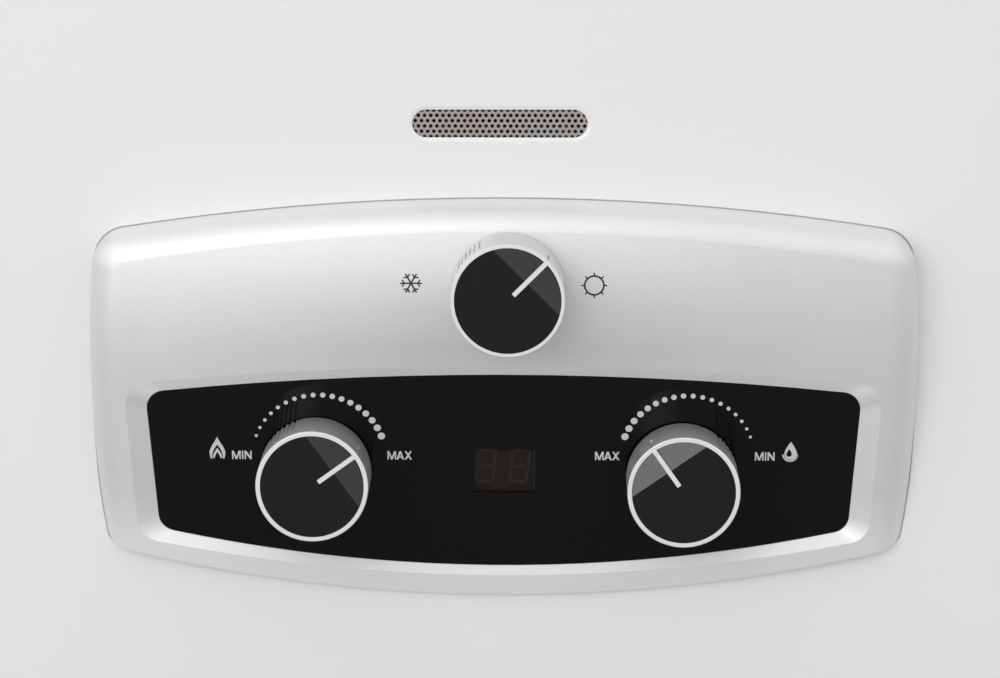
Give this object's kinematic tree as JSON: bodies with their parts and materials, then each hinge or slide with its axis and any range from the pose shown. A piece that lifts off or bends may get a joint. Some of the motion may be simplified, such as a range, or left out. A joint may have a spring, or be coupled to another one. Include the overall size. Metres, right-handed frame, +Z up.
{
  "type": "portable propane water heater",
  "caption": "Wall-hung portable gas water heater: white casing, crowned silver control bezel, black dial panel, three knobs, flue cap and folding carrying bail.",
  "frame": {"origin": "centre of the hanging hole, in the wall plane, in the tab above the casing", "axes": "+Z up, +Y into the wall, so the front faces -Y; +X to the right seen from the front"},
  "size_m": [0.3644, 0.178, 0.594],
  "materials": {
    "white_enamel": "smooth white enamel",
    "zinc_sheet": "zinc-coated sheet",
    "plated_screw": "bright zinc plating",
    "perforated_steel": "dull perforated sheet",
    "silver_plastic": "satin silver paint on moulded plastic",
    "black_gloss": "gloss black, faintly see-through over the display",
    "display_block": "dark segment display",
    "circuit_board": "green board",
    "stainless": "brushed stainless",
    "grip_rubber": "soft black grip",
    "copper": null,
    "brass": "machined brass",
    "burner_steel": "heat-dulled stainless",
    "cast_aluminium": "die-cast",
    "ceramic": "glazed",
    "black_rubber": "fabric-reinforced rubber",
    "black_plastic": "moulded",
    "cell_jacket": "plain dark cell jacket",
    "knob_silver": "satin silver",
    "cap_black": "black"
  },
  "bodies": {
    "casing": {"back_plate": "zinc_sheet", "bottom_plate": "zinc_sheet", "front_cover": "white_enamel", "cover_screws": "plated_screw", "inspection_screen": "perforated_steel", "panel_bezel": "silver_plastic", "panel_insert": "black_gloss", "bezel_screws": "plated_screw", "display_module": "display_block", "display_board": "circuit_board", "flue_hood": "zinc_sheet", "rain_cap": "stainless", "cap_posts": "stainless", "bail_lugs": "stainless", "exchanger_jacket": "copper", "exchanger_tubes": "copper", "exchanger_fins": "copper", "exchanger_coil": "copper", "chamber_brackets": "zinc_sheet", "riser_pipe": "copper", "hot_outlet_pipe": "copper", "hot_outlet_fitting": "brass", "thermal_cutout": "black_plastic", "temperature_sensor": "stainless", "burner_bars": "burner_steel", "burner_frame": "zinc_sheet", "gas_manifold": "cast_aluminium", "gas_nozzles": "brass", "spark_electrode": "ceramic", "flame_sensor": "ceramic", "gas_valve_body": "cast_aluminium", "gas_feed_tube": "cast_aluminium", "solenoid_valve": "zinc_sheet", "gas_inlet_fitting": "brass", "cold_inlet_fitting": "brass", "inlet_filter": "stainless", "water_valve_body": "brass", "water_valve_cover": "brass", "diaphragm": "black_rubber", "microswitch": "black_plastic", "battery_box": "black_plastic", "battery_cells": "cell_jacket", "battery_contacts": "plated_screw", "igniter_box": "black_plastic"},
    "gas_dial": {"gas_knob": "knob_silver", "gas_knob_cap": "cap_black", "gas_spindle": "brass"},
    "water_dial": {"water_knob": "knob_silver", "water_knob_cap": "cap_black", "water_spindle": "brass"},
    "season_dial": {"season_knob": "knob_silver", "season_knob_cap": "cap_black", "season_spindle": "brass"},
    "bail": {"carry_bail": "stainless", "bail_grip": "grip_rubber"},
    "door": {"battery_door": "black_plastic", "door_contact": "plated_screw"},
    "drain": {"drain_plug": "black_plastic"},
    "rod": {"push_rod": "stainless"},
    "lever": {"switch_lever": "stainless"}
  },
  "joints": [
    {"name": "gas_turn", "type": "hinge", "parent": "casing", "child": "gas_dial", "pos_m": [-0.0606, -0.14, -0.4671], "axis": [0, -1, 0], "range_deg": [-16, 124]},
    {"name": "water_turn", "type": "hinge", "parent": "casing", "child": "water_dial", "pos_m": [0.0578, -0.14, -0.4687], "axis": [0, -1, 0], "range_deg": [-105, 35]},
    {"name": "season_turn", "type": "hinge", "parent": "casing", "child": "season_dial", "pos_m": [0.0019, -0.14, -0.4052], "axis": [0, -1, 0], "range_deg": [0, 90]},
    {"name": "bail_fold", "type": "hinge", "parent": "casing", "child": "bail", "pos_m": [0, -0.062, -0.01], "axis": [-1, 0, 0], "range_deg": [0, 110]},
    {"name": "door_swing", "type": "hinge", "parent": "casing", "child": "door", "pos_m": [0.133, -0.0683, -0.5544], "axis": [1, 0, 0], "range_deg": [0, 100]},
    {"name": "drain_turn", "type": "hinge", "parent": "casing", "child": "drain", "pos_m": [0.0758, -0.04867, -0.552], "axis": [0, 0, -1], "range_deg": [0, 360]},
    {"name": "rod_push", "type": "slide", "parent": "casing", "child": "rod", "axis": [-1, 0, 0], "range_m": [0, 0.004], "stiffness_N_per_m": 100, "springref_m": -0.002},
    {"name": "lever_swing", "type": "hinge", "parent": "casing", "child": "lever", "pos_m": [-0.0146, -0.066, -0.4579], "axis": [0, 1, 0], "range_deg": [0, 20]}
  ],
  "couplings": [
    {"joint": "lever_swing", "follows": "rod_push", "rad_per_m": 87.2}
  ]
}
